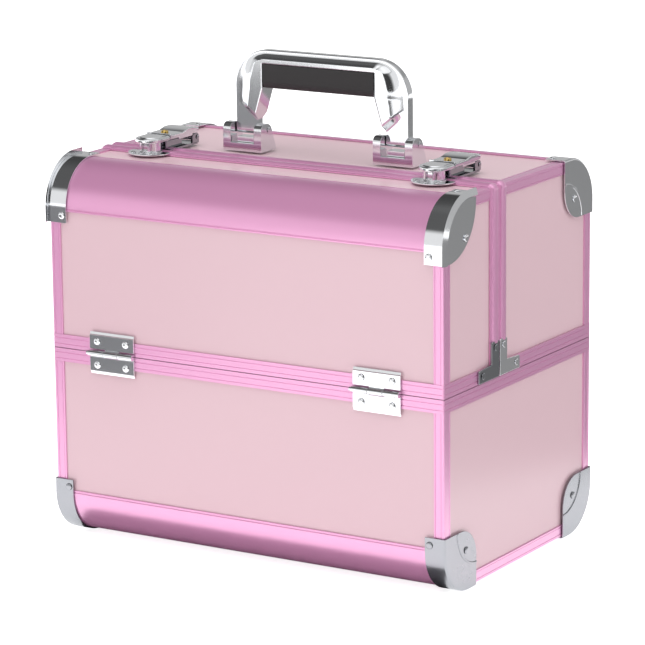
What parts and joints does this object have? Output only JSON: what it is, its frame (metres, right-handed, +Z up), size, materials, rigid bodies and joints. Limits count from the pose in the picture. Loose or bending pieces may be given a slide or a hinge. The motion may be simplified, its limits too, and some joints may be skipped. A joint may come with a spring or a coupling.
{
  "type": "makeup train case",
  "caption": "Pink panelled train case with metal edges, split top lids, folding handle, key latches and swing-out trays.",
  "frame": {"origin": "on the ground under the middle of the case", "axes": "+Z up, +X to the right seen from the front, -Y is the front with the small lid"},
  "size_m": [0.3654, 0.251, 0.391],
  "materials": {
    "laminate": "satin pink laminate",
    "anodised": "pink anodised, fine ribs",
    "chrome": "polished",
    "steel": "brushed",
    "brass": "polished",
    "grip": "black, matte",
    "tray": "black lining"
  },
  "bodies": {
    "base": {"base_frame": "anodised", "base_panel_left": "laminate", "base_panel_right": "laminate", "base_panel_front": "laminate", "base_panel_rear": "laminate", "base_panel_floor": "laminate", "base_roll_front": "anodised", "base_roll_rear": "anodised", "corner_cap_bottom_front_left": "chrome", "hinge_lower_leaf_front_left": "chrome", "corner_cap_bottom_rear_left": "chrome", "hinge_lower_leaf_rear_left": "chrome", "corner_cap_bottom_front_right": "chrome", "hinge_lower_leaf_front_right": "chrome", "corner_cap_bottom_rear_right": "chrome", "hinge_lower_leaf_rear_right": "chrome"},
    "front_lid": {"front_lid_frame": "anodised", "front_lid_panel_front": "laminate", "front_lid_panel_top": "laminate", "front_lid_roll": "anodised", "front_lid_panel_left": "laminate", "corner_cap_top_front_left": "chrome", "hinge_upper_leaf_front_left": "chrome", "latch_catch_left": "chrome", "front_lid_panel_right": "laminate", "corner_cap_top_front_right": "chrome", "hinge_upper_leaf_front_right": "chrome", "latch_catch_right": "chrome"},
    "rear_lid": {"rear_lid_frame": "anodised", "rear_lid_panel_rear": "laminate", "rear_lid_panel_top": "laminate", "rear_lid_roll": "anodised", "rear_lid_panel_left": "laminate", "corner_cap_top_rear_left": "chrome", "hinge_upper_leaf_rear_left": "chrome", "handle_bracket_left": "chrome", "latch_base_left": "chrome", "rear_lid_panel_right": "laminate", "corner_cap_top_rear_right": "chrome", "hinge_upper_leaf_rear_right": "chrome", "handle_bracket_right": "chrome", "latch_base_right": "chrome"},
    "handle": {"handle_bow": "chrome", "handle_grip": "grip"},
    "latch_left": {"latch_lever_left": "chrome"},
    "key_left": {"key_cylinder_left": "brass"},
    "latch_right": {"latch_lever_right": "chrome"},
    "key_right": {"key_cylinder_right": "brass"},
    "front_outer_arms": {"front_outer_arm_left": "steel", "front_outer_arm_right": "steel"},
    "front_inner_arms": {"front_inner_arm_left": "steel", "front_inner_arm_right": "steel"},
    "front_upper_tray_body": {"front_upper_tray": "tray"},
    "front_lower_tray_body": {"front_lower_tray": "tray"},
    "rear_outer_arms": {"rear_outer_arm_left": "steel", "rear_outer_arm_right": "steel"},
    "rear_inner_arms": {"rear_inner_arm_left": "steel", "rear_inner_arm_right": "steel"},
    "rear_upper_tray_body": {"rear_upper_tray": "tray"},
    "rear_lower_tray_body": {"rear_lower_tray": "tray"}
  },
  "joints": [
    {"name": "front_lid_hinge", "type": "hinge", "parent": "base", "child": "front_lid", "pos_m": [0, -0.1229, 0.158], "axis": [1, 0, 0], "range_deg": [0, 95]},
    {"name": "rear_lid_hinge", "type": "hinge", "parent": "base", "child": "rear_lid", "pos_m": [0, 0.1229, 0.158], "axis": [-1, 0, 0], "range_deg": [0, 95]},
    {"name": "handle_hinge", "type": "hinge", "parent": "rear_lid", "child": "handle", "pos_m": [0, 0.005, 0.3255], "axis": [1, 0, 0], "range_deg": [-85, 85]},
    {"name": "latch_left_hinge", "type": "hinge", "parent": "rear_lid", "child": "latch_left", "pos_m": [-0.131, 0.004, 0.3148], "axis": [-1, 0, 0], "range_deg": [0, 85]},
    {"name": "key_left_turn", "type": "hinge", "parent": "latch_left", "child": "key_left", "pos_m": [-0.131, -0.027, 0.3233], "axis": [0, 0, 1], "range_deg": [0, 90]},
    {"name": "latch_right_hinge", "type": "hinge", "parent": "rear_lid", "child": "latch_right", "pos_m": [0.131, 0.004, 0.3148], "axis": [-1, 0, 0], "range_deg": [0, 85]},
    {"name": "key_right_turn", "type": "hinge", "parent": "latch_right", "child": "key_right", "pos_m": [0.131, -0.027, 0.3233], "axis": [0, 0, 1], "range_deg": [0, 90]},
    {"name": "front_outer_arms_hinge", "type": "hinge", "parent": "base", "child": "front_outer_arms", "pos_m": [0, -0.092, 0.148], "axis": [1, 0, 0], "range_deg": [0, 57]},
    {"name": "front_inner_arms_hinge", "type": "hinge", "parent": "base", "child": "front_inner_arms", "pos_m": [0, -0.068, 0.148], "axis": [1, 0, 0], "range_deg": [0, 57]},
    {"name": "front_upper_tray_hinge", "type": "hinge", "parent": "front_outer_arms", "child": "front_upper_tray_body", "pos_m": [0, -0.07079, 0.24777], "axis": [1, 0, 0], "range_deg": [-57, 0]},
    {"name": "front_lower_tray_hinge", "type": "hinge", "parent": "front_outer_arms", "child": "front_lower_tray_body", "pos_m": [0, -0.08119, 0.19886], "axis": [1, 0, 0], "range_deg": [-57, 0]},
    {"name": "rear_outer_arms_hinge", "type": "hinge", "parent": "base", "child": "rear_outer_arms", "pos_m": [0, 0.092, 0.148], "axis": [-1, 0, 0], "range_deg": [0, 57]},
    {"name": "rear_inner_arms_hinge", "type": "hinge", "parent": "base", "child": "rear_inner_arms", "pos_m": [0, 0.052, 0.148], "axis": [-1, 0, 0], "range_deg": [0, 57]},
    {"name": "rear_upper_tray_hinge", "type": "hinge", "parent": "rear_outer_arms", "child": "rear_upper_tray_body", "pos_m": [0, 0.07079, 0.24777], "axis": [-1, 0, 0], "range_deg": [-57, 0]},
    {"name": "rear_lower_tray_hinge", "type": "hinge", "parent": "rear_outer_arms", "child": "rear_lower_tray_body", "pos_m": [0, 0.08119, 0.19886], "axis": [-1, 0, 0], "range_deg": [-57, 0]}
  ],
  "couplings": [
    {"joint": "front_outer_arms_hinge", "follows": "front_lid_hinge", "ratio": 0.6},
    {"joint": "front_inner_arms_hinge", "follows": "front_lid_hinge", "ratio": 0.6},
    {"joint": "front_upper_tray_hinge", "follows": "front_lid_hinge", "ratio": -0.6},
    {"joint": "front_lower_tray_hinge", "follows": "front_lid_hinge", "ratio": -0.6},
    {"joint": "rear_outer_arms_hinge", "follows": "rear_lid_hinge", "ratio": 0.6},
    {"joint": "rear_inner_arms_hinge", "follows": "rear_lid_hinge", "ratio": 0.6},
    {"joint": "rear_upper_tray_hinge", "follows": "rear_lid_hinge", "ratio": -0.6},
    {"joint": "rear_lower_tray_hinge", "follows": "rear_lid_hinge", "ratio": -0.6}
  ]
}
